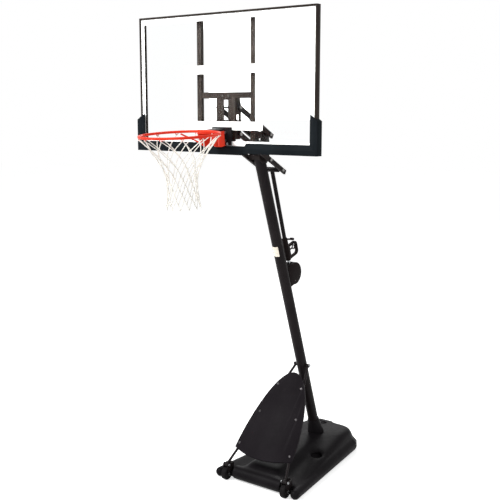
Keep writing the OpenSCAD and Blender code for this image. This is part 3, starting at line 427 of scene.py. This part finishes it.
# The linkage is four box-section arms between a bracket on the pole top and a bracket on the board, on
# plain steel pins, so the board stays upright while it rises and falls. Plastic plugs close the arm ends.
bar_coat = coated_steel("bar_coat", "#2a2421", "#342e2a", rough=0.45, peel=420.0)
arm_coat = coated_steel("arm_coat", "#201b1a", "#292423", rough=0.42, peel=420.0)
softened("pole_top_bracket", "top_bracket", arm_coat, width=0.0012)
for arm in ("lower_arm_left", "lower_arm_right", "upper_arm_left", "upper_arm_right"):
    softened(arm, arm + "_tube", arm_coat, width=0.0022, steps=3)
finish_nodes(cap_plastic, "lower_end_caps", "upper_end_caps")
pin_steel = bright_steel("pin_steel", "#7a7876", "#9a9896", rough=0.4, lay=(1.0, 6.0, 6.0))
finish_nodes(pin_steel, "upper_pole_pin", "lower_pole_pin", "upper_board_pin", "lower_board_pin", "lift_pin",
             "rod_pin", "trigger_pin")

# The lift is a tube that hangs from the tails of the lower arms and slides on a bright steel rod, which
# is pinned in a slotted bracket on the back of the pole, under a moulded cover.
rod_steel = bright_steel("rod_steel", "#8e9092", "#adafb1", rough=0.28, lay=(8.0, 8.0, 1.0))
finish_nodes(rod_steel, "lift_rod")
softened("lift_bracket", "slotted_bracket", pole_coat, width=0.001)
grip_plastic = moulded_plastic("grip_plastic", "#120d0d", "#1c1515", rough=0.48, grain=900.0, depth=0.0004)
softened("lift_housing", "lift_cover", grip_plastic, width=0.003, steps=3)

# The lift handle is a moulded D loop clamped on the lift tube, with a knob above it and, inside the
# loop, a trigger with a finger ring.
handle_voxel, handle_passes = 0.0014, 45
d_handle = remeshed("lift_handle", "d_handle", handle_voxel, handle_passes)
pick_only(d_handle)
bpy.ops.object.shade_smooth()
stand_for(d_handle, "lift_handle", grip_plastic)
softened("lift_trigger", "finger_trigger", grip_plastic, width=0.0012, steps=3)
finish_nodes(grip_plastic, "handle_knob")

# The board frame is dark bronze channel, mitred at the corners, with its lip over the panel's edge. Two
# angle-iron uprights, a crossbar and a welded bracket behind the panel carry it on the arms.
frame_coat = coated_steel("frame_coat", "#28221f", "#322c28", rough=0.4, peel=420.0)
for member in ("frame_top", "frame_bottom", "frame_left", "frame_right"):
    softened(member, member + "_channel", frame_coat, width=0.001)
for bar in ("upright_left", "upright_right", "crossbar"):
    softened(bar, bar + "_angle", bar_coat, width=0.0008)
softened("board_bracket", "welded_bracket", bar_coat, width=0.001)
dark_bolt = bright_steel("dark_bolt", "#3e3a37", "#5a5653", rough=0.45)
finish_nodes(dark_bolt, "frame_bolts")

# The panel is one sheet of clear acrylic, held all round in the frame's channel. It lets light through
# to what lies behind it, as clear sheet does.
clear_sheet, tree, shader, place = start_material("clear_sheet")
shader.inputs["Base Color"].default_value = (0.992, 0.998, 0.998, 1.0)
shader.inputs["Transmission Weight"].default_value = 1.0
shader.inputs["IOR"].default_value = 1.12
shader.inputs["Specular IOR Level"].default_value = 0.3
roughen(tree, shader, noise_on(tree, place, 3.0, 3.0), 0.0, 0.03)
light_through = tree.nodes.new("ShaderNodeBsdfTransparent")
shadow_path = tree.nodes.new("ShaderNodeLightPath")
let_through = tree.nodes.new("ShaderNodeMixShader")
sheet_output = tree.nodes["Material Output"]
link_nodes(tree, (shadow_path.outputs["Is Shadow Ray"], let_through.inputs[0]),
           (shader.outputs[0], let_through.inputs[1]), (light_through.outputs[0], let_through.inputs[2]),
           (let_through.outputs[0], sheet_output.inputs[0]))
finish_nodes(clear_sheet, "acrylic_panel")

# The white border and the shooter's square are screen-printed in white ink on the back of the panel,
# where the clear sheet keeps them from wear.
panel_low, panel_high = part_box("acrylic_panel")
print_gap, ink_thick = 0.0003, 0.0002
print_y = panel_high[1] + print_gap
panel_middle = (panel_low[2] + panel_high[2]) / 2
border_wide, border_tall, border_band, border_side = 1.349, 0.803, 0.034, 0.026
square_wide, square_tall, square_band, square_middle = 0.610, 0.396, 0.052, 2.689
white_ink, tree, shader, place = start_material("white_ink")
tint(tree, shader, noise_on(tree, place, 30.0, 4.0), (0.3, "#f1f1ef"), (0.7, "#fafaf8"))
roughen(tree, shader, noise_on(tree, place, 500.0), 0.45, 0.6)
bump_on(tree, shader, noise_on(tree, place, 1500.0, 2.0), 0.1, 0.00005)


def printed_line(name, width, height, middle, band, side_band):
    bpy.ops.object.select_all(action="DESELECT")
    bpy.ops.mesh.primitive_plane_add(size=1.0)
    line = bpy.context.object
    line.name = name
    line.data.transform(Matrix.Translation((0.0, print_y, middle)) @ Matrix.Rotation(math.pi / 2, 4, "X")
                        @ Matrix.Diagonal((width, height, 1.0, 1.0)))
    bpy.ops.object.mode_set(mode="EDIT")
    bpy.ops.mesh.select_all(action="SELECT")
    bpy.ops.mesh.inset(thickness=band, depth=0.0)
    bpy.ops.transform.resize(value=((width - 2 * side_band) / (width - 2 * band), 1.0, 1.0))
    bpy.ops.mesh.delete(type="FACE")
    bpy.ops.object.mode_set(mode="OBJECT")
    use_modifier(line, "SOLIDIFY", thickness=ink_thick, offset=0.0)
    line.data.materials.append(white_ink)
    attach(line, "board")


printed_line("printed_border", border_wide, border_tall, panel_middle, border_band, border_side)
printed_line("printed_square", square_wide, square_tall, square_middle, square_band, square_band)

# The pads are moulded black foam, clipped over the lower corners and the middle of the frame. Their
# front edges are bevelled, so that a player's hand or head meets no hard edge.
pad_foam = moulded_plastic("pad_foam", "#13171a", "#1c2023", rough=0.62, grain=600.0, depth=0.0008,
                           gloss=0.02)
for pad in ("corner_pad_left", "corner_pad_right", "center_pad"):
    foam = softened(pad, pad + "_foam", pad_foam, width=0.004, steps=4, bend=12.0)

# The rim is welded steel with a gloss red powder coat: a ring of solid rod on a folded bracket, two
# brace rods and twelve wire hooks. The bracket hangs on a pin in a black plate bolted through the panel.
rim_coat = coated_steel("rim_coat", "#cf2c1d", "#e2432d", rough=0.33, peel=500.0)
finish_nodes(rim_coat, "rim_ring", "rim_brace", "net_hooks")
softened("rim_bracket", "folded_bracket", rim_coat, width=0.0015, steps=3)
rim_black = coated_steel("rim_black", "#171416", "#1f1c1e", rough=0.42, peel=420.0)
softened("rim_mount_plate", "mount_plate", rim_black, width=0.0012)
softened("rim_cover", "spring_cover", rim_black, width=0.003, steps=3)
finish_nodes(zinc_plate, "rim_bolts", "rim_pivot_pin")

# The net is braided off-white nylon cord. Each of its twelve cords loops through a hook, and its two
# legs cross their neighbours in tied rows down to the open end, where the legs join in pairs.
ring_low, ring_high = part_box("rim_ring")
ring_middle = (Vector(ring_low) + Vector(ring_high)) / 2
ring_droop = math.radians(4.0)
net_turn = Matrix.Translation(ring_middle) @ Matrix.Rotation(ring_droop, 4, "X")
hook_count, net_rows, row_steps, bend_steps = 12, 7, 6, 8
hook_turn = 2 * math.pi / hook_count
row_turn = hook_turn / 2
cord_radius, net_top, net_fall = 0.0027, 0.0165, 0.408
waist_reach, mouth_more, mouth_share, mouth_power = 0.090, 0.142, 0.62, 1.6
flare_more, flare_start = 0.012, 0.72
weave_out, sag_first, sag_rest = 0.0026, 0.0012, 0.0024
bight_reach, bight_out, bight_along, bight_low, bight_rise = 0.2365, 0.0048, 0.0016, 0.0166, 0.0050
foot_half, foot_up, foot_drop = math.radians(1.9), 0.004, 0.012
tie_ring, tie_cord, tie_stretch, tie_lean = 0.0036, 0.0021, 1.5, math.radians(18.0)


def net_reach(part):
    mouth = max(0.0, 1.0 - part / mouth_share) ** mouth_power
    flare = (max(0.0, part - flare_start) / (1.0 - flare_start)) ** 2
    return waist_reach + mouth_more * mouth + flare_more * flare


def net_spot(turn, part, lift):
    reach = net_reach(part) + lift
    return Vector((reach * math.cos(turn), reach * math.sin(turn), -net_top - net_fall * part))


def leg_spots(turn, side):
    spots = []
    for row in range(net_rows):
        for step in range(row_steps):
            share = step / row_steps
            weave = weave_out * math.cos(math.pi * (row + share)) * side
            spot = net_spot(turn + side * row_turn * (row + share), (row + share) / net_rows, weave)
            spot.z -= (sag_first if row == 0 else sag_rest) * math.sin(math.pi * share)
            spots.append(spot)
    return spots[1:]


def bight_spots(turn):
    out = Vector((math.cos(turn), math.sin(turn), 0.0))
    along = Vector((-math.sin(turn), math.cos(turn), 0.0))
    spots = []
    for step in range(bend_steps + 1):
        swing = math.pi * step / bend_steps
        height = Vector((0.0, 0.0, bight_rise * math.sin(swing) - bight_low))
        reach = bight_reach + bight_out * math.cos(swing)
        spots.append(out * reach + along * (bight_along * math.cos(swing)) + height)
    return spots


def foot_spots(turn):
    spots = []
    for step in range(1, bend_steps):
        swing = math.pi * step / bend_steps
        spot = net_spot(turn - foot_half * math.cos(swing), 1.0, 0.0)
        spot.z += foot_up - foot_drop * math.sin(swing)
        spots.append(spot)
    return spots


cord_curve = bpy.data.curves.new("net_cords", "CURVE")
cord_curve.dimensions = "3D"
cord_curve.bevel_depth = cord_radius
cord_curve.bevel_resolution = 2
cord_curve.use_fill_caps = True


def lay_cord(path):
    spline = cord_curve.splines.new("POLY")
    spline.points.add(len(path) - 1)
    for point, spot in zip(spline.points, path):
        point.co = (*spot, 1.0)


leg_turn = row_turn * net_rows
for hook in range(hook_count):
    turn = row_turn + hook_turn * hook
    right, left = leg_spots(turn, 1.0), leg_spots(turn, -1.0)
    lay_cord(list(reversed(right)) + bight_spots(turn) + left)
    partner = Matrix.Rotation(2 * leg_turn, 4, "Z") @ left[-1]
    lay_cord([right[-1]] + foot_spots(turn + leg_turn) + [partner])
cord_net = bpy.data.objects.new("cord_net", cord_curve)
scene.collection.objects.link(cord_net)
pick_only(cord_net)
bpy.ops.object.convert(target="MESH")
cord_net = bpy.context.object
cord_net.name = "cord_net"
bpy.ops.object.select_all(action="DESELECT")
bpy.ops.mesh.primitive_torus_add(major_segments=10, minor_segments=6, major_radius=tie_ring,
                                 minor_radius=tie_cord)
tie = bpy.context.object
for vertex in tie.data.vertices:
    vertex.co.z *= tie_stretch
net_parts = [cord_net]
for row in range(1, net_rows):
    for hook in range(hook_count):
        turn = row_turn * (row + 1) + hook_turn * hook
        knot = bpy.data.objects.new("tie", tie.data.copy())
        scene.collection.objects.link(knot)
        knot.data.transform(Matrix.Translation(net_spot(turn, row / net_rows, 0.0))
                            @ Matrix.Rotation(turn, 4, "Z") @ Matrix.Rotation(tie_lean, 4, "Y"))
        net_parts.append(knot)
bpy.data.objects.remove(tie)
bpy.ops.object.select_all(action="DESELECT")
for piece in net_parts:
    piece.select_set(True)
bpy.context.view_layer.objects.active = cord_net
bpy.ops.object.join()
cord_net.data.transform(net_turn)
bpy.ops.object.shade_smooth()
net_nylon, tree, shader, place = start_material("net_nylon")
shader.inputs["Sheen Weight"].default_value = 0.25
tint(tree, shader, noise_on(tree, place, 260.0, 4.0), (0.3, "#d9d5cb"), (0.62, "#eeebe4"))
roughen(tree, shader, noise_on(tree, place, 900.0), 0.7, 0.9)
bump_on(tree, shader, noise_on(tree, place, 620.0, 3.0), 0.5, 0.0008)
stand_for(cord_net, "net", net_nylon)
